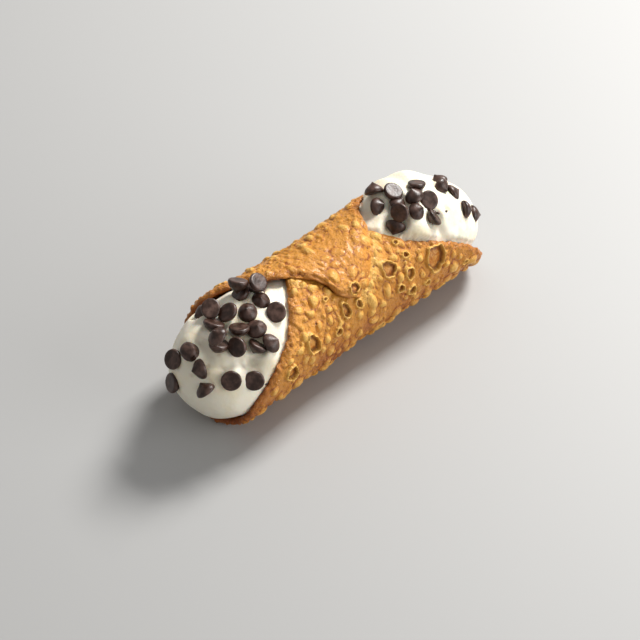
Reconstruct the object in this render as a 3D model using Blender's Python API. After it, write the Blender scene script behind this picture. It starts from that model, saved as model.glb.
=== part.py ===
"""A filled cannoli, lying on its side.

A thin cake of dough is rolled round a tube and fried, so that two of its corners overlap on top and the other two
reach out underneath as the lips of the slanted openings. A core of sweet cheese cream runs through the tube and
swells out of both openings, and small chocolate drops are pressed into it.

Metres, +Z up. The tube lies along X, its underside rests on Z = 0, and the origin is under its middle.
Angles round the tube are in degrees from its lowest line, positive up the front (-Y) and negative up the back.
"""

import math

import bmesh
import bpy
from mathutils import Matrix, Vector, noise

MM = 0.001
SMOOTH_ANGLE = 50.0  # edges sharper than this stay sharp
NO_WIDTH = 1e-6

# The roll of dough.
SKIN_RADIUS = 18.5 * MM  # outside of the skin at the waist, between its blisters
ROLL_MIDDLE = Vector((-0.8, -0.9, 18.2)) * MM  # lower than the radius, so the underside is pressed flat
ROLL_RADIUS = 19.1 * MM  # turns a distance across the dough into an angle
ROLL_TURN = -4.0
DOUGH_THICKNESS = 2.1 * MM
LAYER_GAP = 0.45 * MM
LAYER_SHIFT_ANGLE = 110.0  # past this angle a layer lies wholly over or under the other
LIP_FLARE = 3.4 * MM
LIP_REACH = 55.0 * MM
LIP_FLARE_POWER = 1.3
LIP_FLARE_BELOW = 0.08  # share of the flare that is left on the underside
SKIN_UNEVENNESS = 0.35 * MM
SKIN_LUMP_SIZE = 13.0 * MM
DOUGH_CELLS = 28

# The dough's edge before it is rolled, in mm: along the tube, and across it from the lowest line.
DOUGH_EDGE = (
    (60.5, 0), (59.5, 18), (52, 31), (38, 42), (26.5, 49), (20, 57), (0, 76), (-20.5, 58), (-26, 50), (-32, 43),
    (-38, 38), (-43.5, 33), (-48.5, 28), (-51.5, 14), (-53, -4), (-51, -19), (-43, -33), (-38, -44), (-29, -49),
    (-23.5, -55), (-17.5, -59), (-12.5, -63.5), (-9.5, -68), (-7.8, -72.5), (-4, -76), (1, -77.5), (10, -71),
    (17.8, -58.5), (20.5, -53), (25, -48), (35, -39), (52, -24),
)

# The cream.
CREAM_RADIUS = 16.6 * MM
CREAM_GAP = 0.55 * MM
CREAM_EDGE_MARGIN = 4.8 * MM
CREAM_ENDS = (-62.5 * MM, 66.0 * MM)
CREAM_CROWNS = (16.5 * MM, 25.0 * MM)  # length of each domed end
CREAM_OVERHANGS = (0.10, -0.06)  # how far the top of each end leans out past its foot
CREAM_RINGS = 31
CREAM_SIDES = 28
# Swells of the cream: along the tube in mm, angle, height in mm, and spread along and across in mm.
CREAM_SWELLS = (
    (-46, 203, 2.6, 8, 9),
    (-57, 215, -0.8, 8, 14),
    (-33, 200, 2.0, 9, 10),
    (-36, 150, 1.4, 13, 15),
    (37, 210, 6.0, 11, 15),
    (30, 172, 1.8, 10, 10),
    (50, 150, 1.6, 16, 22),
    (56, 195, 1.0, 9, 12),
)

# The chocolate drops: each a flat-bottomed disc that rises to a tip.
DROP_RADIUS = 3.05 * MM
DROP_SIDES = 8
DROP_MIDDLE = 1.6 * MM  # height in the drop of the point that is placed
DROP_GAP = 0.35 * MM
# Radius and height, as shares of the drop's radius, from the edge of its flat bottom to below its tip.
DROP_PROFILE = ((0.93, 0.0), (1.0, 0.22), (0.66, 0.88))
DROP_TIP = 1.34
# Where each drop lies: along the tube in mm, angle, distance from the middle line in mm, then how far its tip leans
# away from straight out, and towards what: 0 is along +X and 90 is up the front.
DROPS = (
    (-45.6, 211.6, 18.0, 70, 170),
    (-44.5, 195, 20.6, 145, 65),
    (-32.9, 194.5, 23.2, 155, -175),
    (-32.4, 194, 19.2, 155, -20),
    (-27.8, 193, 17.4, 140, 155),
    (-28.1, 186, 22.2, 140, 115),
    (-30.0, 175, 18.8, 20, -110),
    (-29.0, 157, 18.3, 160, 15),
    (-41.5, 181, 19.8, 145, -15),
    (-36.5, 173, 19.3, 15, -160),
    (-48.0, 181, 18.7, 150, -160),
    (-51.2, 168, 21.4, 45, 130),
    (-50.6, 163, 16.2, 150, -145),
    (-46.4, 150, 18.4, 120, -10),
    (-43.0, 162, 18.6, 145, -120),
    (-38.0, 155, 19.2, 10, 130),
    (-36.6, 136, 20.0, 30, 10),
    (-40.8, 139, 17.0, 130, -140),
    (-57.0, 182, 14.6, 35, -80),
    (-60.0, 208, 10.8, 120, 20),
    (-59.0, 157, 12.8, 95, 165),
    (-60.0, 130, 10.6, 90, 100),
    (-62.2, 242, 3.9, 116, 15),
    (-53.0, 125, 15.8, 140, 0),
    (-46.5, 112, 17.2, 140, -20),
    (29.2, 200, 24.2, 35, 45),
    (26.5, 188, 20.4, 60, -69),
    (32.5, 187.2, 22.6, 156, 90),
    (31.6, 176.7, 20.5, 41, -16),
    (28.4, 167.5, 22, 117, 10),
    (40.8, 179.8, 22, 155, -134),
    (36.4, 172.9, 23.1, 21, 114),
    (40.6, 163.8, 20.3, 153, 63),
    (33.8, 159.5, 21.6, 36, -47),
    (38.3, 147.9, 18.8, 134, 177),
    (52.9, 185, 16.4, 40, 109),
    (50.2, 169.4, 18, 76, -85),
    (54.2, 161, 15.5, 73, -10),
    (54, 134, 15.2, 85, -30),
    (59, 117, 11.9, 66, -26),
    (25.8, 162.9, 16.9, 104, -149),
    (44, 240, 19.2, 45, 130),
    (55, 246, 15, 30, 60),
    (59.5, 262, 11.6, 60, 30),
)


def add_object(name, bm, material):
    bmesh.ops.recalc_face_normals(bm, faces=bm.faces)
    mesh = bpy.data.meshes.new(name)
    bm.to_mesh(mesh)
    bm.free()
    mesh.shade_smooth()
    mesh.set_sharp_from_angle(angle=math.radians(SMOOTH_ANGLE))
    mesh.materials.append(material)
    obj = bpy.data.objects.new(name, mesh)
    bpy.context.scene.collection.objects.link(obj)
    return obj


def add_material(name, colour, roughness):
    material = bpy.data.materials.new(name)
    material.use_nodes = True
    shader = material.node_tree.nodes["Principled BSDF"]
    shader.inputs["Base Color"].default_value = (*colour, 1.0)
    shader.inputs["Roughness"].default_value = roughness
    shader.inputs["Metallic"].default_value = 0.0
    return material


# ---- The dough, flat ----


def edge_corners():
    """The dough's edge as (direction, distance from the middle), by rising direction."""
    corners = [(math.atan2(s, x) % math.tau, math.hypot(x, s) * MM) for x, s in DOUGH_EDGE]
    return sorted(corners)


EDGE_CORNERS = edge_corners()


def dough_reach(direction):
    """Distance from the middle of the dough to its edge, on a smooth curve through the corners."""
    direction %= math.tau
    count = len(EDGE_CORNERS)
    after = sum(1 for corner in EDGE_CORNERS if corner[0] <= direction)
    turns = [((after + i) // count, (after + i) % count) for i in (-2, -1, 0, 1)]
    (a0, r0), (a1, r1), (a2, r2), (a3, r3) = (
        (EDGE_CORNERS[index][0] + turn * math.tau, EDGE_CORNERS[index][1]) for turn, index in turns
    )
    span = a2 - a1
    t = (direction - a1) / span
    start_slope = (r2 - r0) / (a2 - a0) * span
    end_slope = (r3 - r1) / (a3 - a1) * span
    return (
        (2 * t**3 - 3 * t**2 + 1) * r1
        + (t**3 - 2 * t**2 + t) * start_slope
        + (3 * t**2 - 2 * t**3) * r2
        + (t**3 - t**2) * end_slope
    )


def dough_point(a, b):
    """A point of the flat dough for a point of the square from -1 to 1, whose corners become the dough's tips."""
    u = a * math.sqrt(1 - b * b / 2)
    v = b * math.sqrt(1 - a * a / 2)
    direction = math.atan2(v, u) + math.pi / 4
    size = math.hypot(u, v) * dough_reach(direction)
    return size * math.cos(direction), size * math.sin(direction)


def inside_dough(x, across, margin=0.0):
    return math.hypot(x, across) < dough_reach(math.atan2(across, x)) + margin


# ---- The dough, rolled ----


def across_to_angle(across):
    return math.degrees(across / ROLL_RADIUS) + ROLL_TURN


def angle_to_across(angle):
    return math.radians(angle - ROLL_TURN) * ROLL_RADIUS


def at(x, angle, radius):
    """The point of space at this distance along the tube, angle round it, and radius."""
    turn = math.radians(angle)
    return ROLL_MIDDLE + Vector((x, -radius * math.sin(turn), -radius * math.cos(turn)))


def skin_radius(x, angle):
    """Outside radius of the dough, which lies over itself past the top on its back half and under on its front."""
    layer = -(DOUGH_THICKNESS + LAYER_GAP) / 2 * min(max(angle / LAYER_SHIFT_ANGLE, -1), 1)
    lift = LIP_FLARE_BELOW + (1 - LIP_FLARE_BELOW) * math.sin(math.radians(angle) / 2) ** 2
    flare = LIP_FLARE * (abs(x) / LIP_REACH) ** LIP_FLARE_POWER * lift
    lump = SKIN_UNEVENNESS * noise.noise(at(x, angle, SKIN_RADIUS) / SKIN_LUMP_SIZE)
    return SKIN_RADIUS + layer + flare + lump


def make_shell(material):
    bm = bmesh.new()
    bmesh.ops.create_grid(bm, x_segments=DOUGH_CELLS, y_segments=DOUGH_CELLS, size=1.0)
    places = {vert: dough_point(vert.co.x, vert.co.y) for vert in bm.verts}
    outer_faces = list(bm.faces)
    copied = bmesh.ops.duplicate(bm, geom=bm.verts[:] + bm.edges[:] + bm.faces[:])
    inner = {vert: copied["vert_map"][vert] for vert in places}
    edges = [edge for face in outer_faces for edge in face.edges if edge.is_boundary]
    for edge in set(edges):
        start, end = edge.verts
        bm.faces.new((start, end, inner[end], inner[start]))
    for vert, (x, across) in places.items():
        angle = across_to_angle(across)
        radius = skin_radius(x, angle)
        vert.co = at(x, angle, radius)
        vert.co.z = max(vert.co.z, 0.0)
        inner[vert].co = at(x, angle, radius - DOUGH_THICKNESS)
    return add_object("shell", bm, material)


# ---- The cream ----


def shell_inside(x, angle, margin):
    """Inside radius of the innermost layer of dough here, or None where the cream is bare."""
    radii = []
    for turned in (angle - 360, angle, angle + 360):
        if inside_dough(x, angle_to_across(turned), margin):
            radii.append(skin_radius(x, turned) - DOUGH_THICKNESS)
    return min(radii, default=None)


def cream_radius(x, angle):
    """Radius of the cream before its ends are rounded off."""
    radius = CREAM_RADIUS
    for along, at_angle, height, spread_x, spread_across in CREAM_SWELLS:
        away = math.radians((angle - at_angle + 180) % 360 - 180) * CREAM_RADIUS
        radius += height * MM * math.exp(-((x / MM - along) / spread_x) ** 2 - (away / MM / spread_across) ** 2)
    inside = shell_inside(x, angle, CREAM_EDGE_MARGIN)
    return radius if inside is None else min(radius, inside - CREAM_GAP)


def cream_ring(share):
    """Where a ring of the cream lies along the tube, its width as a share of the full width, and its lean."""
    (low, high), (low_crown, high_crown) = CREAM_ENDS, CREAM_CROWNS
    low_arc, high_arc = low_crown * math.pi / 2, high_crown * math.pi / 2
    straight = high - low - low_crown - high_crown
    way = share * (low_arc + straight + high_arc)
    if way < low_arc:
        turn = (low_arc - way) / low_crown
        return low + low_crown * (1 - math.sin(turn)), math.cos(turn), -CREAM_OVERHANGS[0] * turn
    if way > low_arc + straight:
        turn = (way - low_arc - straight) / high_crown
        return high - high_crown * (1 - math.sin(turn)), math.cos(turn), CREAM_OVERHANGS[1] * turn
    return low + low_crown + way - low_arc, 1.0, 0.0


def make_filling(material):
    bm = bmesh.new()
    rings = []
    for i in range(CREAM_RINGS + 1):
        x, width, lean = cream_ring(i / CREAM_RINGS)
        if width < NO_WIDTH:
            rings.append([bm.verts.new(at(x, 0, 0))])
            continue
        ring = []
        for j in range(CREAM_SIDES):
            angle = 360 * j / CREAM_SIDES - 180
            point = at(x, angle, cream_radius(x, angle) * width)
            point.x += lean * (point.z - ROLL_MIDDLE.z)
            ring.append(bm.verts.new(point))
        rings.append(ring)
    for ring, following in zip(rings, rings[1:]):
        for j in range(CREAM_SIDES):
            k = (j + 1) % CREAM_SIDES
            if len(ring) == 1:
                bm.faces.new((ring[0], following[j], following[k]))
            elif len(following) == 1:
                bm.faces.new((ring[j], ring[k], following[0]))
            else:
                bm.faces.new((ring[j], ring[k], following[k], following[j]))
    return add_object("filling", bm, material)


# ---- The chocolate drops ----


def drop_mesh(swell=0.0):
    """A drop with its middle at the origin and its tip at +Z, swollen by a gap to cut its seat in the cream."""
    bm = bmesh.new()
    rings = []
    for width, height in DROP_PROFILE:
        radius = width * DROP_RADIUS + swell
        level = height * DROP_RADIUS - DROP_MIDDLE + (swell if height > 0 else -swell)
        ring = []
        for j in range(DROP_SIDES):
            turn = math.tau * j / DROP_SIDES
            ring.append(bm.verts.new((radius * math.cos(turn), radius * math.sin(turn), level)))
        rings.append(ring)
    tip = bm.verts.new((0, 0, DROP_TIP * DROP_RADIUS - DROP_MIDDLE + swell))
    bm.faces.new(reversed(rings[0]))
    for ring, following in zip(rings, rings[1:]):
        for j in range(DROP_SIDES):
            k = (j + 1) % DROP_SIDES
            bm.faces.new((ring[j], ring[k], following[k], following[j]))
    for j in range(DROP_SIDES):
        bm.faces.new((rings[-1][j], rings[-1][(j + 1) % DROP_SIDES], tip))
    return bm


def drop_place(x, angle, radius, lean, towards):
    """The turn and place of a drop on the roll."""
    turn, tilt, way = math.radians(angle), math.radians(lean), math.radians(towards)
    outward = Vector((0, -math.sin(turn), -math.cos(turn)))
    round_tube = Vector((0, -math.cos(turn), math.sin(turn)))
    along = Vector((1, 0, 0))
    tip = outward * math.cos(tilt) + (along * math.cos(way) + round_tube * math.sin(way)) * math.sin(tilt)
    turned = tip.to_track_quat("Z", "Y").to_matrix().to_4x4()
    return Matrix.Translation(at(x * MM, angle, radius * MM)) @ turned


def make_drops(filling, material):
    for number, (x, angle, radius, lean, towards) in enumerate(DROPS, start=1):
        place = drop_place(x, angle, radius, lean, towards)
        drop = add_object(f"chocolate_drop_{number:02d}", drop_mesh(), material)
        drop.matrix_world = place
        seat = add_object(f"drop_seat_{number:02d}", drop_mesh(DROP_GAP), material)
        seat.matrix_world = place
        seat.hide_render = True
        seat.display_type = "WIRE"
        cut = filling.modifiers.new(seat.name, "BOOLEAN")
        cut.operation = "DIFFERENCE"
        cut.object = seat


for leftover in list(bpy.data.objects):
    bpy.data.objects.remove(leftover)

crust = add_material("crust", (0.62, 0.33, 0.10), 0.5)
cream = add_material("cream", (0.83, 0.79, 0.70), 0.45)
chocolate = add_material("chocolate", (0.045, 0.022, 0.018), 0.35)
shell = make_shell(crust)
filling = make_filling(cream)
make_drops(filling, chocolate)
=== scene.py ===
import math

import bmesh
import bpy
import numpy as np
from mathutils import Matrix, Vector, kdtree, noise


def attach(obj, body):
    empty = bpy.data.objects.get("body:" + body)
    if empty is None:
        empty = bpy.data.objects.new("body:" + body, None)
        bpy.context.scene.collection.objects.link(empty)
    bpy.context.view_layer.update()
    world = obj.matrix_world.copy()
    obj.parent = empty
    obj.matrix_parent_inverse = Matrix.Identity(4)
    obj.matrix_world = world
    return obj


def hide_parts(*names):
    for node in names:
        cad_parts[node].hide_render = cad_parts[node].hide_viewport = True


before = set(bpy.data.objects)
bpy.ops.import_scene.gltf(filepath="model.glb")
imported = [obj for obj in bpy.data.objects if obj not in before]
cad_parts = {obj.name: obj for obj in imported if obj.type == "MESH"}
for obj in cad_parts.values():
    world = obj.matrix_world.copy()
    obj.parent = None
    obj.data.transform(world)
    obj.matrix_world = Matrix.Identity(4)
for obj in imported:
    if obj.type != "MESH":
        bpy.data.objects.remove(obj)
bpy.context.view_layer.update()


# ---- The flat dough ----
# The shell starts as a thin cake of dough, rolled out to a rough diamond. Two of its corners meet and lap on top of
# the tube, and the other two become the lips of the openings. Angles are in degrees from the tube's lowest line,
# positive up the front and negative up the back.

ROLL_MIDDLE = np.array((-0.8, -0.9, 18.2))  # mm, as are all sizes of the dough, the cream and the crumbs
ROLL_RADIUS = 19.1
ROLL_TURN = -4.0
SKIN_RADIUS = 18.5
DOUGH_THICKNESS = 2.1
LAYER_GAP = 0.45
LAYER_SHIFT_ANGLE = 110.0  # how far round the dough has moved in or out by half a layer
LIP_FLARE = 3.4
LIP_REACH = 55.0
LIP_FLARE_POWER = 1.3
LIP_FLARE_BELOW = 0.08  # share of the flare that is left on the lowest line
SKIN_UNEVENNESS = 0.35
SKIN_LUMP_SIZE = 13.0
# The edge of the flat dough: along the tube, and across it from the lowest line.
DOUGH_EDGE = np.array((
    (60.5, 0), (59.5, 18), (52, 31), (38, 42), (26.5, 49), (20, 57), (0, 76), (-20.5, 58), (-26, 50), (-32, 43),
    (-38, 38), (-43.5, 33), (-48.5, 28), (-51.5, 14), (-53, -4), (-51, -19), (-43, -33), (-38, -44), (-29, -49),
    (-23.5, -55), (-17.5, -59), (-12.5, -63.5), (-9.5, -68), (-7.8, -72.5), (-4, -76), (1, -77.5), (10, -71),
    (17.8, -58.5), (20.5, -53), (25, -48), (35, -39), (52, -24),
))
EDGE_WAVES = (47, 83, 128)  # small waves of the torn edge, counted round the dough
EDGE_WAVE_HEIGHT = 0.15
edge_directions = np.arctan2(DOUGH_EDGE[:, 1], DOUGH_EDGE[:, 0]) % math.tau
edge_order = np.argsort(edge_directions)
edge_directions = edge_directions[edge_order]
edge_distances = np.hypot(*DOUGH_EDGE.T)[edge_order]
# Two corners more at each end close the circle.
edge_directions = np.concatenate([edge_directions[-2:] - math.tau, edge_directions, edge_directions[:2] + math.tau])
edge_distances = np.concatenate([edge_distances[-2:], edge_distances, edge_distances[:2]])


def dough_reach(direction):
    """Distance from the middle of the dough to its edge, on a smooth curve through the edge's corners."""
    direction = direction % math.tau
    after = np.searchsorted(edge_directions, direction, side="right")
    a0, a1, a2, a3 = (edge_directions[after + i] for i in (-2, -1, 0, 1))
    r0, r1, r2, r3 = (edge_distances[after + i] for i in (-2, -1, 0, 1))
    span = a2 - a1
    t = (direction - a1) / span
    start_slope = (r2 - r0) / (a2 - a0) * span
    end_slope = (r3 - r1) / (a3 - a1) * span
    return (
        (2 * t**3 - 3 * t**2 + 1) * r1
        + (t**3 - 2 * t**2 + t) * start_slope
        + (3 * t**2 - 2 * t**3) * r2
        + (t**3 - t**2) * end_slope
    )


def inside_edge(x, across):
    """How far a point of the flat dough lies inside its edge; negative outside."""
    return dough_reach(np.arctan2(across, x)) - np.hypot(x, across)


def dough_place(a, b, trim):
    """The point of the flat dough for a point of the square from -1 to 1, trim short of the dough's edge."""
    u = a * np.sqrt(1 - b * b / 2)
    v = b * np.sqrt(1 - a * a / 2)
    direction = np.arctan2(v, u) + math.pi / 4
    wave = sum(np.sin(waves * direction + waves) for waves in EDGE_WAVES)
    size = np.hypot(u, v) * (dough_reach(direction) - trim + EDGE_WAVE_HEIGHT * wave)
    return size * np.cos(direction), size * np.sin(direction)


def across_to_angle(across):
    return np.degrees(across / ROLL_RADIUS) + ROLL_TURN


def angle_to_across(angle):
    return np.radians(angle - ROLL_TURN) * ROLL_RADIUS


def rolled(x, angle, radius):
    """The points of space at these distances along the tube, angles round it and radii, as rows."""
    turn = np.radians(angle)
    x, radius, turn = np.broadcast_arrays(np.atleast_1d(x), radius, turn)
    return ROLL_MIDDLE + np.stack([x, -radius * np.sin(turn), -radius * np.cos(turn)], axis=1)


def ripple(points, size, seed=0.0):
    """Smooth noise from -1 to 1 at each point, with lumps of this size."""
    shift = Vector((seed, seed, seed))
    return np.array([noise.noise(Vector(point) / size + shift) for point in points])


def smooth(value, low, high):
    """0 below low and 1 above high, with a smooth rise between them."""
    t = np.clip((value - low) / (high - low), 0, 1)
    return t * t * (3 - 2 * t)


def skin_radius(x, angle):
    """Outside of the dough between its blisters. It lies over itself past the top on its back half."""
    layer = -(DOUGH_THICKNESS + LAYER_GAP) / 2 * np.clip(angle / LAYER_SHIFT_ANGLE, -1, 1)
    lift = LIP_FLARE_BELOW + (1 - LIP_FLARE_BELOW) * np.sin(np.radians(angle) / 2) ** 2
    flare = LIP_FLARE * (np.abs(x) / LIP_REACH) ** LIP_FLARE_POWER * lift
    lump = SKIN_UNEVENNESS * ripple(rolled(x, angle, SKIN_RADIUS), SKIN_LUMP_SIZE)
    return SKIN_RADIUS + layer + flare + lump


# ---- Blisters ----
# Hot fat raises the dough in hundreds of blisters: a dense crowd of small ones behind and round the near notch, and
# larger domes down the front. Some broke, and left a thin standing rim round a hole that shows the dough below.

# Each broken blister: along the tube, angle, half its length and half its height, height of its rim, depth.
BROKEN = (
    (32.5, 112, 3.6, 4.6, 1.2, 1.3),
    (-23.0, 110, 2.4, 3.4, 1.2, 1.2),
    (-33.5, 96, 2.2, 2.7, 1.1, 0.9),
    (14.0, 130, 2.5, 3.1, 0.9, 0.7),
    (-7.0, 119, 1.7, 2.8, 1.1, 0.9),
    (-1.5, 134, 1.9, 2.0, 1.1, 0.9),
    (-1.5, 117, 1.1, 1.6, 1.0, 0.9),
    (21.0, 113, 1.9, 2.0, 1.1, 0.9),
    (16.0, 104, 1.5, 1.3, 1.1, 0.8),
    (20.5, 94, 1.8, 1.5, 1.1, 0.8),
    (27.5, 91, 1.2, 1.1, 1.0, 0.7),
    (-12.0, 103, 1.5, 1.3, 1.0, 0.8),
    (-12.0, 141, 0.75, 0.75, 0.6, 0.7),
    (22.0, 133, 1.1, 1.1, 0.8, 0.7),
    (21.3, 149, 0.85, 0.85, 0.6, 0.7),
    (-38.0, 114, 0.9, 1.1, 0.6, 0.7),
    (46.0, 83, 1.0, 1.1, 0.7, 0.7),
    (4.0, 141, 0.45, 0.45, 0.2, 0.8),
    (-30.0, 235, 1.8, 2.2, 0.9, 0.9),
    (12.0, 262, 2.4, 2.0, 1.0, 0.9),
    (33.0, 250, 1.5, 1.9, 0.9, 0.8),
    (-14.0, 285, 2.2, 2.8, 1.0, 1.0),
    (-5.0, 300, 1.2, 1.0, 0.8, 0.8),
    (28.0, 292, 2.8, 2.2, 1.0, 1.1),
    (44.0, 285, 1.3, 1.6, 0.8, 0.7),
    (-38.0, 275, 1.4, 1.6, 0.9, 0.8),
    (-28.0, 55, 1.8, 1.4, 0.7, 0.8),
    (8.0, 62, 2.0, 1.7, 0.7, 0.8),
    (38.0, 58, 1.5, 1.6, 0.7, 0.8),
)
# Each whole blister that stands alone: along the tube, angle, half its length and half its height, height.
DOMES = (
    (-22.0, 147, 1.6, 1.9, 0.7),
    (-18.5, 122, 1.5, 2.0, 0.9),
    (-14.0, 120, 1.4, 1.8, 0.8),
    (-17.0, 104, 1.4, 2.3, 1.0),
    (4.0, 110, 2.0, 3.6, 1.1),
    (11.0, 110, 1.7, 3.2, 1.0),
    (-2.0, 104, 1.9, 1.9, 1.0),
    (18.0, 148, 1.2, 2.4, 0.6),
    (17.5, 165, 1.7, 1.8, 0.8),
    (-2.5, 163, 1.7, 1.6, 0.7),
    (25.5, 141, 1.2, 1.9, 0.6),
    (40.5, 103, 1.3, 1.8, 0.8),
    (-27.0, 99, 1.5, 1.9, 0.8),
    (26.0, 104, 1.4, 2.0, 0.8),
    (32.0, 97, 2.6, 1.7, 0.8),
    (7.5, 158, 2.6, 2.2, 0.5),
    (2.0, 172, 2.2, 2.0, 0.6),
)
# Waves round a blister's outline, and their heights as shares of its size.
RAGGED_TURNS = ((2, 0.07), (3, 0.07), (5, 0.05), (9, 0.035))
LUMPY_TURNS = ((1, 0.10), (2, 0.12), (3, 0.07), (5, 0.03))
DOME_ROUNDNESS = 0.8
CREASE_SHADE_REACH = 1.45  # how far out a blister's points are taken, and so how far the painted shade in the crease round its foot reaches, in its own sizes
CREASE_SHADE_PLACE = 1.05
CREASE_SHADE_WIDTH = 0.2
FULL_CREASE_SHADE_HEIGHT = 0.55  # a blister lower than this has lighter painted shade in its crease
RIM_WIDTH = 0.10
WALL_WIDTH = 0.3
WALL_SHADE = (0.9, 1.9)  # the painted shade on a broken blister's wall fades out between these distances from its rim
RIM_SKIRT = 0.75
RIM_HIGHLIGHT = (0.2, 0.45)  # how far inside the rim the band of painted highlight lies, and its width
FLOOR_DEPTH = 0.5  # share of the depth at the edge of the floor
FLOOR_RISE = 0.5

# The scattered blisters: tries, sizes, room round each as a share of its size, and height as a share of it.
LARGES = (1500, (1.7, 2.5), 0.86, (0.42, 0.6))
MEDIUMS = (2600, (1.0, 1.7), 0.84, (0.5, 0.75))
SMALLS = (14000, (0.45, 0.95), 0.76, (0.5, 0.8))
DOUGH_ENDS = (-60, 62)
DOUGH_SIDES = (-77, 77)
EDGE_MARGIN = 0.6  # how far inside the dough's edge a blister keeps, in its own size
STRETCH = (0.8, 1.35)
# Where small blisters crowd: behind, between angles where the crowd begins and ends, and round the near notch.
BEHIND_ANGLES = ((176, 212), (300, 330))
NOTCH_PLACE = (-21, 172)
NOTCH_SPREAD = (7, 22)
BEADED_ANGLE = -165  # the lap's free edge lies beyond this angle, and within these limits along and across
BEADED_END = 6
BEADED_WIDTHS = (2.5, 5.5)

draw = np.random.default_rng(7)


def flat_place(x, angle):
    """Where a blister of the finished tube lies on the flat dough, on the layer that shows there."""
    over = angle_to_across((angle % 360) - 360)
    if inside_edge(x, over) > 0:
        return x, over
    return x, angle_to_across(angle)


broken = [(*flat_place(x, angle), *sizes) for x, angle, *sizes in BROKEN]
whole = [(*flat_place(x, angle), *sizes) for x, angle, *sizes in DOMES]


def scatter(tries, sizes, room, heights, taken, wanted):
    """Throws blisters on the flat dough and keeps those with room round them, where this many are wanted."""
    kept = []
    places = np.array([(x, across, max(long, wide)) for x, across, long, wide, *_ in taken])
    for _ in range(tries):
        x, across, size = draw.uniform(*DOUGH_ENDS), draw.uniform(*DOUGH_SIDES), draw.uniform(*sizes)
        chance = draw.random()
        stretch = draw.uniform(*STRETCH)
        inset = inside_edge(x, across)
        if inset < EDGE_MARGIN * size or chance > wanted(x, across_to_angle(across), inset):
            continue
        near = np.hypot(places[:, 0] - x, places[:, 1] - across) < room * (places[:, 2] + size)
        if near.any():
            continue
        kept.append((x, across, size, size * stretch))
        places = np.vstack([places, (x, across, size * max(stretch, 1.0))])
    return [(*place, draw.uniform(*heights) * place[2]) for place in kept]


def round_the_top(x, angle):
    """1 where the skin is crowded with small blisters: behind and round the near notch; 0 down the front."""
    angle %= 360
    behind = smooth(angle, *BEHIND_ANGLES[0]) * (1 - smooth(angle, *BEHIND_ANGLES[1]))
    along, round_it = (x - NOTCH_PLACE[0]) / NOTCH_SPREAD[0], (angle - NOTCH_PLACE[1]) / NOTCH_SPREAD[1]
    return max(behind, math.exp(-(along**2) - round_it**2))


def along_the_lap(x, angle, inset):
    """1 along the free edge of the lap, where the dough beaded as it fried."""
    return (angle < BEADED_ANGLE) * (x < BEADED_END) * (1 - smooth(inset, *BEADED_WIDTHS))


def larges_wanted(x, angle, inset):
    return 0.42 - 0.40 * round_the_top(x, angle)


def mediums_wanted(x, angle, inset):
    return 0.58 - 0.25 * round_the_top(x, angle)


def smalls_wanted(x, angle, inset):
    return 0.30 + 0.70 * max(round_the_top(x, angle), along_the_lap(x, angle, inset))


whole += scatter(*LARGES, broken + whole, larges_wanted)
whole += scatter(*MEDIUMS, broken + whole, mediums_wanted)
whole += scatter(*SMALLS, broken + whole, smalls_wanted)


# ---- Pastry shell ----
# The rolled dough, fried until golden. Its edge is rounded and a little ragged. On the front the free edge of the
# upper layer stands off the layer below, and its other side was pressed down and sealed.

COARSE_CELLS = 83
SURFACE_CUTS = 2
RIM_CUTS = 3
FINE_CUTS = 2
EDGE_ROUND = 0.9
EDGE_DROP = 0.35
EDGE_DROP_WIDTH = 1.3
EDGE_RAGGED = 0.65
EDGE_RAGGED_SIZE = 1.9
EDGE_RAGGED_WIDTH = 3.0
SEAL_THIN = 1.6  # how much thinner the sealed edge is
SEAL_WIDTH = 9.0
FREE_THIN = 0.5
FREE_WIDTH = 3.5
FREE_ENDS = ((-17.0, -11.5), (-4.0, 2.0))  # where the lap's edge turns from sealed to free and back, along the tube
SEAL_LIFT = 0.75  # how far the layer below rises to meet the sealed edge
SEAL_LIFT_WIDTH = 7
FLAP_ANGLES = (172, 190)
SKIN_RIPPLE = 0.13
SKIN_RIPPLE_SIZE = 1.25
SKIN_SWELL = 0.42
SKIN_SWELL_SIZE = 5.5
BLISTER_SMOOTHNESS = 0.6  # share of the ripple that a blister's stretched skin has lost
TOP_SOFTNESS = 0.35  # how much lower the blisters of the lap are
TOP_ANGLES = (158, 180)
MM = 0.001
scene = bpy.context.scene

bm = bmesh.new()
bmesh.ops.create_grid(bm, x_segments=COARSE_CELLS, y_segments=COARSE_CELLS, size=1.0)
raised = bmesh.ops.extrude_face_region(bm, geom=bm.faces[:])["geom"]
bmesh.ops.translate(bm, verts=[part for part in raised if isinstance(part, bmesh.types.BMVert)], vec=(0, 0, 1))
upright = [edge for edge in bm.edges if edge.verts[0].co.z != edge.verts[1].co.z]
bmesh.ops.subdivide_edges(bm, edges=upright, cuts=RIM_CUTS)
level = [edge for edge in bm.edges if abs(edge.verts[0].co.z - edge.verts[1].co.z) < 0.01 < edge.verts[0].co.z]
bmesh.ops.subdivide_edges(bm, edges=level, cuts=SURFACE_CUTS, use_grid_fill=True)

# The skin is made finer round the broken blisters, so that their thin rims have room.
surface = [vert for vert in bm.verts if vert.co.z > 0.999]
flat = np.stack(dough_place(*np.array([vert.co.xy for vert in surface]).T, EDGE_ROUND), axis=1)
near = np.zeros(len(surface), bool)
for x, across, long, wide, *_ in broken:
    near |= np.hypot((flat[:, 0] - x) / (long + RIM_SKIRT), (flat[:, 1] - across) / (wide + RIM_SKIRT)) < 1
fine = {vert for vert, inside in zip(surface, near) if inside}
edges = [edge for edge in bm.edges if fine.issuperset(edge.verts)]
bmesh.ops.subdivide_edges(bm, edges=edges, cuts=FINE_CUTS, use_grid_fill=True)

grid = np.array([vert.co for vert in bm.verts])
depth = grid[:, 2]
trim = EDGE_ROUND * (1 - np.sin(math.pi * depth))
x, across = dough_place(grid[:, 0], grid[:, 1], trim)
angle = across_to_angle(across)
inset = inside_edge(x, across)
on_surface = depth > 0.999

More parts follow.
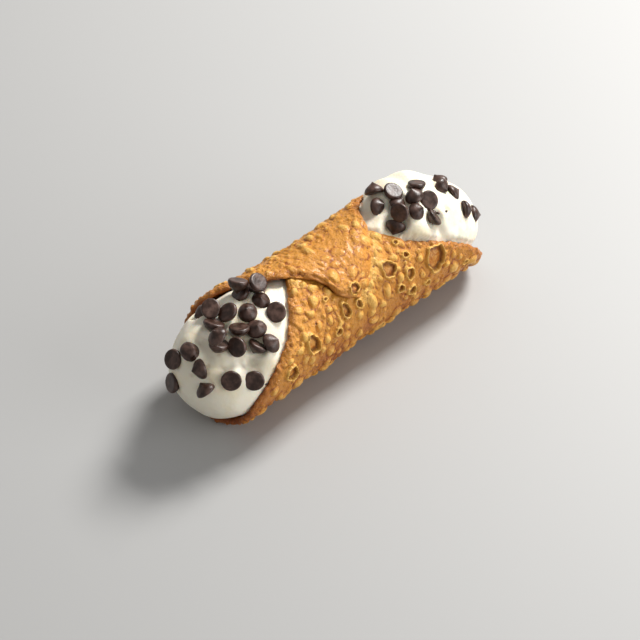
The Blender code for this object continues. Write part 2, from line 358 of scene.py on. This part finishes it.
# Height of the skin over its even level, and what each point of it is.
height = np.zeros(len(grid))
hollow = np.zeros(len(grid))
wall = np.zeros(len(grid))
rim = np.zeros(len(grid))
crease = np.zeros(len(grid))
places = kdtree.KDTree(int(on_surface.sum()))
for index in np.flatnonzero(on_surface):
    places.insert((x[index], across[index], 0), index)
places.balance()
for bx, by, long, wide, tall in whole:
    found = np.array([hit[1] for hit in places.find_range((bx, by, 0), CREASE_SHADE_REACH * max(long, wide))], int)
    if len(found) == 0:
        continue
    turn = np.arctan2((across[found] - by) / wide, (x[found] - bx) / long)
    outline = 1 + sum(high * np.sin(waves * turn + draw.uniform(0, math.tau)) for waves, high in LUMPY_TURNS)
    away = np.hypot((x[found] - bx) / long, (across[found] - by) / wide) / outline
    height[found] = np.maximum(height[found], tall * np.clip(1 - away**2, 0, 1) ** DOME_ROUNDNESS)
    # Painted shade: a dark ring in the crease round the blister's foot, lighter round a low blister.
    crease_shade_ring = np.exp(-(((away - CREASE_SHADE_PLACE) / CREASE_SHADE_WIDTH) ** 2)) * min(tall / FULL_CREASE_SHADE_HEIGHT, 1.0)
    crease[found] = np.maximum(crease[found], crease_shade_ring)
for bx, by, long, wide, tall, deep in broken:
    reach = 1.3 * max(long, wide) + 2 * RIM_SKIRT
    found = np.array([hit[1] for hit in places.find_range((bx, by, 0), reach)], int)
    turn = np.arctan2((across[found] - by) / wide, (x[found] - bx) / long)
    outline = 1 + sum(high * np.sin(waves * turn + draw.uniform(0, math.tau)) for waves, high in RAGGED_TURNS)
    away = np.hypot((x[found] - bx) / long, (across[found] - by) / wide) / outline
    outside = (away - 1) * math.sqrt(long * wide)
    skirt = tall * (1 - smooth(outside, 0, RIM_SKIRT))
    inside = smooth(-outside, RIM_WIDTH, RIM_WIDTH + WALL_WIDTH)
    bottom = -deep * FLOOR_DEPTH + FLOOR_RISE * np.clip(1 - away, 0, 1)
    lifted = np.where(outside > 0, np.maximum(height[found], skirt), tall)
    height[found] = lifted * (1 - inside) + bottom * inside
    hollow[found] = np.maximum(hollow[found], inside)
    # Painted shade on the wall inside the rim, and a painted highlight along the rim.
    wall[found] = np.maximum(wall[found], inside * (1 - smooth(-outside, *WALL_SHADE)))
    rim[found] = np.maximum(rim[found], np.exp(-(((outside + RIM_HIGHLIGHT[0]) / RIM_HIGHLIGHT[1]) ** 2)))

height *= 1 - TOP_SOFTNESS * smooth(-angle, *TOP_ANGLES) * (1 - hollow)
crease *= (1 - smooth(height, 0.12, 0.4)) * (1 - hollow)
round_tube = rolled(x, angle, SKIN_RADIUS)
wrinkle = SKIN_RIPPLE * ripple(round_tube, SKIN_RIPPLE_SIZE, 5.0)
wrinkle *= 1 - BLISTER_SMOOTHNESS * smooth(height, 0.1, 0.6)
swell = SKIN_SWELL * ripple(round_tube, SKIN_SWELL_SIZE, 9.0)
height += (wrinkle + swell) * (1 - BLISTER_SMOOTHNESS * hollow)
height *= smooth(inset, -0.6, 0.9)

# The lap on the front: its free edge and its sealed edge, and the layer below them.
on_flap = smooth(-angle, *FLAP_ANGLES)
sealed = np.maximum(smooth(x, *FREE_ENDS[1]), 1 - smooth(x, *FREE_ENDS[0]))
sealed_thinner = sealed * SEAL_THIN * (1 - smooth(inset, 0, SEAL_WIDTH))
free_thinner = (1 - sealed) * FREE_THIN * (1 - smooth(inset, 0, FREE_WIDTH))
thinner = on_flap * (sealed_thinner + free_thinner)
under = angle > 90
covered = np.full(len(grid), -99.0)
covered[under] = inside_edge(x[under], angle_to_across(angle[under] - 360))
height *= 1 - smooth(covered, -0.5, 0.4)
height += sealed * SEAL_LIFT * (1 - smooth(np.abs(covered), 0, SEAL_LIFT_WIDTH))

height -= EDGE_DROP * (1 - smooth(inset, EDGE_ROUND, EDGE_ROUND + EDGE_DROP_WIDTH)) * on_surface
ragged = EDGE_RAGGED * ripple(round_tube, EDGE_RAGGED_SIZE, 3.0) * (1 - smooth(inset, 0, EDGE_RAGGED_WIDTH))
ragged *= depth > 0.01
thickness = DOUGH_THICKNESS - thinner
radius = skin_radius(x, angle) - DOUGH_THICKNESS + thickness * depth + np.where(on_surface, height, 0) + ragged
points = rolled(x, angle, radius)
points[:, 2] = np.maximum(points[:, 2], 0)
for vert, point in zip(bm.verts, points * MM):
    vert.co = point
bmesh.ops.recalc_face_normals(bm, faces=bm.faces)


def piece_from(bm, name):
    """Ends a bmesh as a smooth object of this name, at the origin."""
    mesh = bpy.data.meshes.new(name)
    bm.to_mesh(mesh)
    bm.free()
    mesh.shade_smooth()
    piece = bpy.data.objects.new(name, mesh)
    scene.collection.objects.link(piece)
    return piece


def mark(piece, **masks):
    """Keeps a number from 0 to 1 for each point of the piece, for its material to read."""
    for name, values in masks.items():
        piece.data.attributes.new(name, "FLOAT", "POINT").data.foreach_set("value", values.astype(np.float32))


shell = piece_from(bm, "pastry_shell")
edge_band = (1 - smooth(inset, 0.6, 3.0)) * (1 - sealed * on_flap)
mark(
    shell,
    # blister: share of a blister's height, for a painted highlight on the crowns and painted shade between the
    # blisters
    blister=np.where(on_surface, smooth(height, 0.15, 0.85), 0) * (1 - hollow),
    hollow=hollow,
    # the wall carries painted shade and the rim a painted highlight
    wall=wall,
    rim=rim,
    crease=crease,
    edge_band=edge_band,
    # inside: the dough's inner face, which is darkened with painted shade
    inside=1 - smooth(depth, 0.2, 0.8),
    low=1 - smooth(points[:, 2], 8.0, 27.0),
)


class Value:
    """A number that varies over a surface, so that a sum on it can be written as it is."""

    def __init__(self, socket):
        self.socket = socket

    def math(self, operation, *terms):
        tree = self.socket.id_data
        made = tree.nodes.new("ShaderNodeMath")
        made.operation = operation
        for place, term in enumerate(terms):
            if isinstance(term, Value):
                tree.links.new(term.socket, made.inputs[place])
            else:
                made.inputs[place].default_value = term
        return Value(made.outputs[0])

    def __add__(self, other):
        return self.math("ADD", self, other)

    def __sub__(self, other):
        return self.math("SUBTRACT", self, other)

    def __rsub__(self, other):
        return self.math("SUBTRACT", other, self)

    def __mul__(self, other):
        return self.math("MULTIPLY", self, other)

    __radd__ = __add__
    __rmul__ = __mul__


class Finish:
    """A material in the making: one Principled shader, and the nodes that feed it."""

    def __init__(self, name, settings):
        self.material = bpy.data.materials.new(name)
        self.material.use_nodes = True
        self.tree = self.material.node_tree
        self.shader = self.tree.nodes["Principled BSDF"]
        for socket, value in settings.items():
            self.shader.inputs[socket].default_value = value
        self.place = self.node("TexCoord", output="Object")

    def node(self, kind, settings=None, inputs=None, output=0):
        """Adds a node: first its settings, then what feeds its sockets. Gives back one of its outputs."""
        made = self.tree.nodes.new("ShaderNode" + kind)
        for name, value in (settings or {}).items():
            setattr(made, name, value)
        for name, value in (inputs or {}).items():
            self.feed(made.inputs[name], value)
        return Value(made.outputs[output])

    def feed(self, socket, value):
        if isinstance(value, Value):
            self.tree.links.new(value.socket, socket)
        else:
            socket.default_value = value

    def attribute(self, name):
        return self.node("Attribute", {"attribute_name": name}, output="Fac")

    def noise(self, size, detail=2.0, roughness=0.5):
        """Noise from 0 to 1 with lumps of this size in metres."""
        sizes = {"Vector": self.place, "Scale": 1 / size, "Detail": detail, "Roughness": roughness}
        return self.node("TexNoise", None, sizes, "Fac")

    def span(self, value, low, high):
        """0 below low and 1 above high, with a smooth rise between them."""
        limits = {"Value": value, "From Min": low, "From Max": high}
        return self.node("MapRange", {"interpolation_type": "SMOOTHSTEP"}, limits)

    def mix(self, share, colour, other):
        """The first colour where share is 0 and the other where it is 1."""
        return self.node("Mix", {"data_type": "RGBA"}, {0: share, 6: colour, 7: other}, 2)

    def bump(self, height, distance, strength=1.0, normal=None):
        inputs = {"Height": height, "Distance": distance, "Strength": strength}
        if normal is not None:
            inputs["Normal"] = normal
        return self.node("Bump", None, inputs)

    def set(self, socket, value):
        self.feed(self.shader.inputs[socket], value)


GOLDEN = (0.66, 0.285, 0.034, 1)
PALE_GOLD = (0.87, 0.52, 0.12, 1)
AMBER = (0.50, 0.158, 0.012, 1)
RUSSET = (0.25, 0.050, 0.003, 1)
BROWN = (0.12, 0.028, 0.005, 1)
CRUMB = (0.72, 0.35, 0.075, 1)
PATCH_SIZE = 0.010  # metres, as Object coordinates are
FRECKLE_SIZE = 0.0014
GRAIN_SIZE = 0.0004
PINHOLE_SPACING = 0.0062

crust = Finish("fried_dough", {"Specular IOR Level": 0.36, "Coat Weight": 0.14, "Coat Roughness": 0.14})
blister = crust.attribute("blister")
hollow_mask = crust.attribute("hollow")
wall_mask = crust.attribute("wall")
rim_highlight_mask = crust.attribute("rim")
low = crust.attribute("low")
crease_mask = crust.attribute("crease")
patches = crust.noise(PATCH_SIZE, 3.0)
freckles = crust.noise(FRECKLE_SIZE, 3.0, 0.6)
grain = crust.noise(GRAIN_SIZE, 3.0, 0.65)
valley = 1 - blister
cells = {"Vector": crust.place, "Scale": 1 / PINHOLE_SPACING}
pinhole = 1 - crust.span(crust.node("TexVoronoi", {"feature": "F1"}, cells, "Distance"), 0.035, 0.085)
# Golden skin with random browner patches. Painted shade browns the hollows between the blisters, the skin is darker
# towards the table, and a painted highlight leaves the crowns of the blisters pale.
colour = crust.mix(crust.span(valley + (patches - 0.5) * 1.1 + low * 0.5, 0.75, 1.7) * 0.85, GOLDEN, AMBER)
colour = crust.mix(crust.span(valley + (patches - 0.5) * 1.6 + low * 0.5, 1.2, 1.9) * 0.8, colour, RUSSET)
colour = crust.mix(crust.span(blister + (freckles - 0.5) * 1.4 - low * 0.3, 0.25, 1.2) * 0.85, colour, PALE_GOLD)
# Fine freckles, stronger between the blisters; fine dark grain and painted glints of pale grain; painted shade in the
# crease round each blister; and the darker torn edge.
colour = crust.mix(crust.span(freckles, 0.56, 0.74) * (0.25 + 0.45 * valley), colour, AMBER)
colour = crust.mix(crust.span(grain, 0.57, 0.72) * 0.5, colour, RUSSET)
# Painted glints: pale specks of the fine grain.
colour = crust.mix(crust.span(1 - grain, 0.58, 0.72) * 0.4, colour, PALE_GOLD)
creased = crust.span(crease_mask + (freckles - 0.5) * 1.8 + (patches - 0.5) * 0.8, 0.35, 1.1)
colour = crust.mix(creased * 0.85, colour, RUSSET)
colour = crust.mix(crust.attribute("edge_band") * 0.4, colour, RUSSET)
# Broken blisters show the tan dough below, with painted shade darkening their walls and a painted highlight along
# their rims.
colour = crust.mix(hollow_mask, colour, crust.mix(crust.span(patches + freckles, 0.85, 1.15), CRUMB, AMBER))
colour = crust.mix(wall_mask * 0.65, colour, BROWN)
colour = crust.mix(rim_highlight_mask * (1 - hollow_mask) * 0.9, colour, PALE_GOLD)
# Painted shade: a dark dot in each pinhole.
colour = crust.mix(pinhole * (1 - hollow_mask) * 0.8, colour, BROWN)
# Painted shade darkens the inner face of the dough, inside the tube.
colour = crust.mix(crust.attribute("inside") * 0.8, colour, RUSSET)
crust.set("Base Color", colour)
crust.set("Roughness", 0.16 + freckles * 0.38)
grainy = crust.bump(grain, 0.0005, 0.7)
crust.set("Normal", crust.bump(freckles - pinhole * 0.5, 0.0011, 0.65, grainy))
shell.data.materials.append(crust.material)
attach(shell, "root")
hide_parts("shell")


# ---- Cheese cream ----
# Sweet sheep's cheese whipped with sugar and piped into the tube from both ends until it swells out of them. It fills
# the tube from wall to wall, and its surface keeps the soft lobes and furrows of the piping.

CREAM_RADIUS = 16.6
CREAM_LOWEST = 0.4
CREAM_OVERLAP = 0.25  # how far the cream reaches into the wall, so that no gap shows
CREAM_EDGE_MARGIN = 1.2
CREAM_ENDS = (-62.5, 66.0)
CREAM_CROWNS = (16.5, 25.0)
CREAM_OVERHANGS = (0.10, -0.06)
CREAM_RINGS = 230
CREAM_SIDES = 150
# Swells of the cream: along the tube, angle, height, and spread along and across.
CREAM_SWELLS = (
    (-46, 203, 2.6, 8, 9),
    (-57, 215, -0.8, 8, 14),
    (-33, 200, 2.0, 9, 10),
    (-36, 150, 1.4, 13, 15),
    (37, 210, 6.0, 11, 15),
    (30, 172, 1.8, 10, 10),
    (50, 150, 1.6, 16, 22),
    (56, 195, 1.0, 9, 12),
)

# Lobes and furrows that the piping left, in the same terms.
CREAM_LOBES = (
    (-55.5, 194, 3.0, 4.5, 5.5),
    (-45.0, 160, -2.0, 6.0, 7.0),
    (-53.0, 178, -2.0, 1.7, 2.4),
    (-54.2, 168, -1.8, 1.8, 2.6),
    (-54.0, 157, -1.8, 1.8, 2.6),
    (-52.4, 147, -1.6, 1.8, 2.4),
    (-50.2, 140, -1.6, 1.8, 2.2),
    (-47.6, 134, -1.8, 1.8, 2.2),
    (-44.6, 129, -3.0, 1.7, 2.0),
    (-39.5, 127, 1.6, 3.2, 4.2),
    (-55.0, 98, 0.9, 8.0, 12.0),
    (-43.0, 198, -1.4, 2.2, 4.0),
    (28.0, 199, 1.4, 4.2, 5.5),
    (29.0, 178, -2.0, 2.0, 2.8),
    (25.4, 164, -2.6, 2.0, 2.8),
    (31.0, 149, 1.8, 3.8, 5.0),
    (38.5, 138, -1.6, 1.8, 4.5),
    (45.4, 148, -0.9, 1.0, 1.0),
    (47.5, 207, 2.0, 5.0, 6.0),
    (39.5, 197, -1.2, 2.2, 5.0),
    (56.0, 165, 0.9, 5.0, 6.0),
)
FLUTE_HEIGHT = 0.9
FLUTE_SPACING = 5.3
FLUTE_SLANT = 0.27  # how far along the tube a flute runs for each degree
FLUTE_START = 42.6
FLUTE_ANGLE = 110
FLUTED_FROM = (40, 45)
FLUTED_ANGLES = ((82, 90), (120, 130))
CREAM_RIPPLES = ((0.55, 9.0, 21.0), (0.22, 3.6, 33.0))  # height, size, and a seed for the noise
DROP_MIDDLE = 1.6  # height in a drop of the point that its seat is measured from
SEAT_DEPTH = 0.3
SEAT_RADIUS = 2.9
SEAT_SLOPE = 1.2
SEAT_RISE = 1.5  # the most that the cream is drawn up under a drop
SEAT_FLOOR = -2.2
SEAT_FLOOR_RADIUS = 1.5
SEAT_REACH = 7.5
HELD_REACH = 4.5  # a drop further from the cream than this stands on other drops
FOOT_BROWN_WIDTH = 0.7


def drop_place(node):
    """The turn and place of a drop, read from its faceted solid, whose flat bottom is its largest face."""
    areas = {}
    for face in node.data.polygons:
        facing = tuple(round(part, 1) for part in face.normal)
        areas.setdefault(facing, []).append(face)
    bottom = max(areas.values(), key=lambda faces: sum(face.area for face in faces))
    down = sum((face.normal * face.area for face in bottom), Vector()).normalized()
    lowest = max(vert.co.dot(down) for vert in node.data.vertices)
    rim = [vert.co for vert in node.data.vertices if vert.co.dot(down) > lowest - 0.1 * MM]
    centre = (Vector(map(min, *rim)) + Vector(map(max, *rim))) / 2
    centre += down * (lowest - centre.dot(down))
    return Matrix.Translation(centre) @ (-down).to_track_quat("Z", "Y").to_matrix().to_4x4()


bm = bmesh.new()
bmesh.ops.create_grid(bm, x_segments=CREAM_RINGS, y_segments=CREAM_SIDES, size=0.5)
grid = np.array([vert.co for vert in bm.verts]) + 0.5
(low_end, high_end), (low_crown, high_crown) = CREAM_ENDS, CREAM_CROWNS
low_arc, high_arc = low_crown * math.pi / 2, high_crown * math.pi / 2
straight = high_end - low_end - low_crown - high_crown
way = grid[:, 0] * (low_arc + straight + high_arc)
low_turn = np.clip((low_arc - way) / low_crown, 0, None)
high_turn = np.clip((way - low_arc - straight) / high_crown, 0, None)
x = low_end + low_crown * (1 - np.sin(low_turn))
x += np.clip(way - low_arc, 0, straight) + high_crown * np.sin(high_turn)
lean = CREAM_OVERHANGS[1] * high_turn - CREAM_OVERHANGS[0] * low_turn
angle = 360 * grid[:, 1] - 180
radius = np.full(len(grid), CREAM_RADIUS)
for along, at_angle, tall, spread_x, spread_across in CREAM_SWELLS + CREAM_LOBES:
    away = np.radians((angle - at_angle + 180) % 360 - 180) * CREAM_RADIUS
    radius += tall * np.exp(-(((x - along) / spread_x) ** 2) - (away / spread_across) ** 2)
fluted = smooth(x, *FLUTED_FROM) * smooth(angle, *FLUTED_ANGLES[0]) * (1 - smooth(angle, *FLUTED_ANGLES[1]))
flute = np.pi * (x - FLUTE_SLANT * (angle - FLUTE_ANGLE) - FLUTE_START) / FLUTE_SPACING
radius += FLUTE_HEIGHT * np.abs(np.sin(flute)) * fluted
soft_round = rolled(x, angle, CREAM_RADIUS)
radius += sum(tall * ripple(soft_round, size, seed) for tall, size, seed in CREAM_RIPPLES)
inside = np.full(len(grid), 99.0)  # the wall of dough, where there is one
for turned in (angle - 360, angle, angle + 360):
    wall_here = skin_radius(x, turned) - DOUGH_THICKNESS + CREAM_OVERLAP
    held = inside_edge(x, angle_to_across(turned)) > -CREAM_EDGE_MARGIN
    inside = np.where(held, np.minimum(inside, wall_here), inside)
radius = np.minimum(radius, inside)
width = np.cos(low_turn) * np.cos(high_turn)
points = rolled(x, angle, radius * width)
points[:, 0] += lean * (points[:, 2] - ROLL_MIDDLE[2])
points[:, 2] = np.maximum(points[:, 2], CREAM_LOWEST)
for vert, point in zip(bm.verts, points * MM):
    vert.co = point
bmesh.ops.remove_doubles(bm, verts=bm.verts, dist=1e-6)
bmesh.ops.recalc_face_normals(bm, faces=bm.faces)

# Each drop is pressed in: the cream dips to leave it room, and is drawn up where it would hang clear.
drop_nodes = sorted(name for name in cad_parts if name.startswith("chocolate_drop"))
drop_places = {name: drop_place(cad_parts[name]) for name in drop_nodes}
bm.normal_update()
points = np.array([vert.co for vert in bm.verts]) / MM
normals = np.array([vert.normal for vert in bm.verts])
seat = np.zeros(len(points))
for place in drop_places.values():
    middle = np.array(place @ Vector((0, 0, DROP_MIDDLE * MM))) / MM
    away = points - middle
    distance = np.linalg.norm(away, axis=1)
    close = distance < SEAT_REACH
    outward = normals[distance < distance.min() + 2.0].mean(axis=0)
    outward /= np.linalg.norm(outward)
    over = away @ outward
    aside = np.linalg.norm(away - over[:, None] * outward, axis=1)
    floor_here = SEAT_FLOOR - SEAT_SLOPE * np.clip(aside - SEAT_FLOOR_RADIUS, 0, None)
    move = np.clip(floor_here - over, 0, SEAT_RISE) * (distance.min() < HELD_REACH)
    ceiling = -SEAT_DEPTH + SEAT_SLOPE * np.clip(aside - SEAT_RADIUS, 0, None)
    move = np.where(over > ceiling, ceiling - over, move) * close * (normals @ outward > 0)
    points += move[:, None] * outward
    seat = np.maximum(seat, np.exp(-((np.clip(aside - SEAT_RADIUS, 0, None) / FOOT_BROWN_WIDTH) ** 2)) * close)
for vert, point in zip(bm.verts, points * MM):
    vert.co = point
cream = piece_from(bm, "cheese_cream")
mark(cream, seat=seat)

IVORY = (0.86, 0.805, 0.665, 1)
BUTTER = (0.84, 0.74, 0.52, 1)
FOOT_BROWN = (0.46, 0.32, 0.17, 1)

glow = {"Subsurface Weight": 0.35, "Subsurface Radius": (0.006, 0.004, 0.0025)}
whipped = Finish("whipped_cheese", {**glow, "Specular IOR Level": 0.4})
cloud = whipped.noise(0.009, 3.0)
whipped_colour = whipped.mix(whipped.span(cloud, 0.45, 0.75), IVORY, BUTTER)
# The cream is browner in broken patches round the foot of each drop.
foot_browning = whipped.attribute("seat") * whipped.span(whipped.noise(0.004, 3.0), 0.45, 0.75) * 0.6
whipped.set("Base Color", whipped.mix(foot_browning, whipped_colour, FOOT_BROWN))
whipped.set("Roughness", 0.38 + cloud * 0.15)
whipped.set("Normal", whipped.bump(whipped.noise(0.0011, 3.0), 0.0003, 0.35))
cream.data.materials.append(whipped.material)
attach(cream, "root")
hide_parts("filling")


# ---- Chocolate drops ----
# Small drops of dark chocolate, let fall on a belt so that each has a flat round bottom and draws up to a soft tip.
# They were pressed and scattered on the cream by hand, and no two have quite the same tip.

DROP_RADIUS = 3.2 * MM
DROP_SPOKES = 28
# Radius and height, as shares of the drop's radius.
DROP_PROFILE = (
    (0.0, 0.03), (0.45, 0.02), (0.78, 0.0), (0.90, 0.01), (0.97, 0.08), (1.0, 0.19), (0.985, 0.33), (0.92, 0.49),
    (0.81, 0.65), (0.66, 0.79), (0.50, 0.92), (0.35, 1.03), (0.22, 1.13), (0.12, 1.22), (0.05, 1.28), (0.0, 1.30),
)
DROP_UNEVEN = 0.035
DROP_HEIGHTS = (0.84, 1.05)
DROP_BENDS = (0, 0.22)
DROP_STRETCHES = (0.93, 1.07)
# Crumbs that broke off the drops: along the tube, angle, distance from the middle line, size in mm.
CRUMBS = (
    (-42.7, 98, 16.9, 0.6), (-45.3, 144, 17.6, 0.7), (-46.6, 142, 17.4, 0.5), (-61.4, 262, 5.6, 0.9),
    (44.6, 146, 18.6, 0.45), (39.9, 152, 19.2, 0.9), (41.2, 149, 19.0, 0.6), (-57.6, 172, 14.4, 0.5),
    (-31.0, 166, 17.6, 0.5), (33.0, 168, 19.8, 0.6),
)
CRUMB_UNEVEN = 0.35

together = bmesh.new()


def join(bm):
    """Adds a bmesh to the drops and crumbs made so far."""
    part = bpy.data.meshes.new("part")
    bm.to_mesh(part)
    bm.free()
    together.from_mesh(part)
    bpy.data.meshes.remove(part)


for name in drop_nodes:
    bm = bmesh.new()
    high, bend, stretch = draw.uniform(*DROP_HEIGHTS), draw.uniform(*DROP_BENDS), draw.uniform(*DROP_STRETCHES)
    lean = draw.uniform(0, math.tau)
    verts = [bm.verts.new((share * DROP_RADIUS, 0, tall * DROP_RADIUS)) for share, tall in DROP_PROFILE]
    line = [bm.edges.new(pair) for pair in zip(verts, verts[1:])]
    bmesh.ops.spin(
        bm, geom=verts + line, cent=(0, 0, 0), axis=(0, 0, 1), angle=math.tau, steps=DROP_SPOKES, use_merge=True
    )
    bmesh.ops.remove_doubles(bm, verts=bm.verts, dist=1e-6)
    for vert in bm.verts:
        rise = vert.co.z / DROP_RADIUS
        uneven = 1 + DROP_UNEVEN * noise.noise(vert.co / DROP_RADIUS * 1.6 + Vector((lean, high, bend)) * 9)
        vert.co.x *= stretch * uneven
        vert.co.y *= uneven / stretch
        vert.co.z *= high
        vert.co.x += DROP_RADIUS * bend * rise**3 * math.cos(lean) * 0.5
        vert.co.y += DROP_RADIUS * bend * rise**3 * math.sin(lean) * 0.5
    bmesh.ops.recalc_face_normals(bm, faces=bm.faces)
    bmesh.ops.transform(bm, matrix=drop_places[name], verts=bm.verts)
    join(bm)

for along, at_angle, out, size in CRUMBS:
    bm = bmesh.new()
    bmesh.ops.create_icosphere(bm, subdivisions=2, radius=size * MM)
    shape = Vector((draw.uniform(0.7, 1.3), draw.uniform(0.6, 1.2), draw.uniform(0.5, 0.9)))
    for vert in bm.verts:
        vert.co *= 1 + CRUMB_UNEVEN * noise.noise(vert.co / (size * MM) * 1.3 + shape * 7)
    bmesh.ops.scale(bm, vec=shape, verts=bm.verts)
    bmesh.ops.translate(bm, vec=Vector(rolled(along, at_angle, out)[0]) * MM, verts=bm.verts)
    join(bm)
drops = piece_from(together, "chocolate_drops")

DARK_CHOCOLATE = (0.026, 0.009, 0.004, 1)
GREYISH_SHEEN = (0.105, 0.055, 0.041, 1)
chocolate = Finish("dark_chocolate", {"Specular IOR Level": 0.5})
sheen_film = chocolate.noise(0.0022, 3.0)
# Painted sheen: a lighter greyish film in random patches stands in for the drops' greyish reflection.
chocolate.set("Base Color", chocolate.mix(chocolate.span(sheen_film, 0.35, 0.75), DARK_CHOCOLATE, GREYISH_SHEEN))
chocolate.set("Roughness", 0.26 + sheen_film * 0.24)
chocolate.set("Normal", chocolate.bump(chocolate.noise(0.0007, 2.0), 0.0002, 0.3))
drops.data.materials.append(chocolate.material)
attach(drops, "root")
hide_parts(*drop_nodes)


# ---- Table, light and camera ----
# A plain pale table under one soft window beyond the far end and a wide weak one low on the front, with the room's
# light all round.

TABLE_REACH = 1.5
PALE_GREY = (0.415, 0.415, 0.412, 1)

bm = bmesh.new()
bmesh.ops.create_grid(bm, x_segments=1, y_segments=1, size=TABLE_REACH)
table = piece_from(bm, "table")
table.data.materials.append(Finish("pale_table", {"Base Color": PALE_GREY, "Roughness": 0.6}).material)

TARGET = Vector((1.95, 5.3, 0.2)) * MM
AZIMUTH, ELEVATION = math.radians(-44.1), math.radians(45.0)
DISTANCE = 0.55
LENS, SENSOR = 92.025, 36.0


def aimed(obj, direction, distance):
    """Places an object this far from the target and turns it to face the target."""
    obj.location = TARGET + direction * distance
    obj.rotation_euler = (-direction).to_track_quat("-Z", "Y").to_euler()
    scene.collection.objects.link(obj)


def add_window(name, direction, distance, size, power, colour):
    light = bpy.data.lights.new(name, "AREA")
    light.shape = "SQUARE"
    light.size = size
    light.energy = power
    light.color = colour
    aimed(bpy.data.objects.new(name, light), Vector(direction).normalized(), distance)


add_window("window", (0.77, 0.08, 0.79), 0.9, 0.28, 11.6, (1.0, 0.985, 0.96))
add_window("front_fill", (0.45, -0.90, 0.30), 1.1, 0.8, 7.2, (1.0, 0.99, 0.98))
world = bpy.data.worlds.new("room")
world.use_nodes = True
room_light = world.node_tree.nodes["Background"].inputs
room_light["Color"].default_value = (1.0, 0.99, 0.975, 1)
room_light["Strength"].default_value = 0.36
scene.world = world

lens = bpy.data.cameras.new("camera")
lens.lens, lens.sensor_width = LENS, SENSOR
camera = bpy.data.objects.new("camera", lens)
back = Vector(
    (math.sin(AZIMUTH) * math.cos(ELEVATION), -math.cos(AZIMUTH) * math.cos(ELEVATION), math.sin(ELEVATION))
)
aimed(camera, back, DISTANCE)
scene.camera = camera
scene.view_settings.view_transform = "Standard"
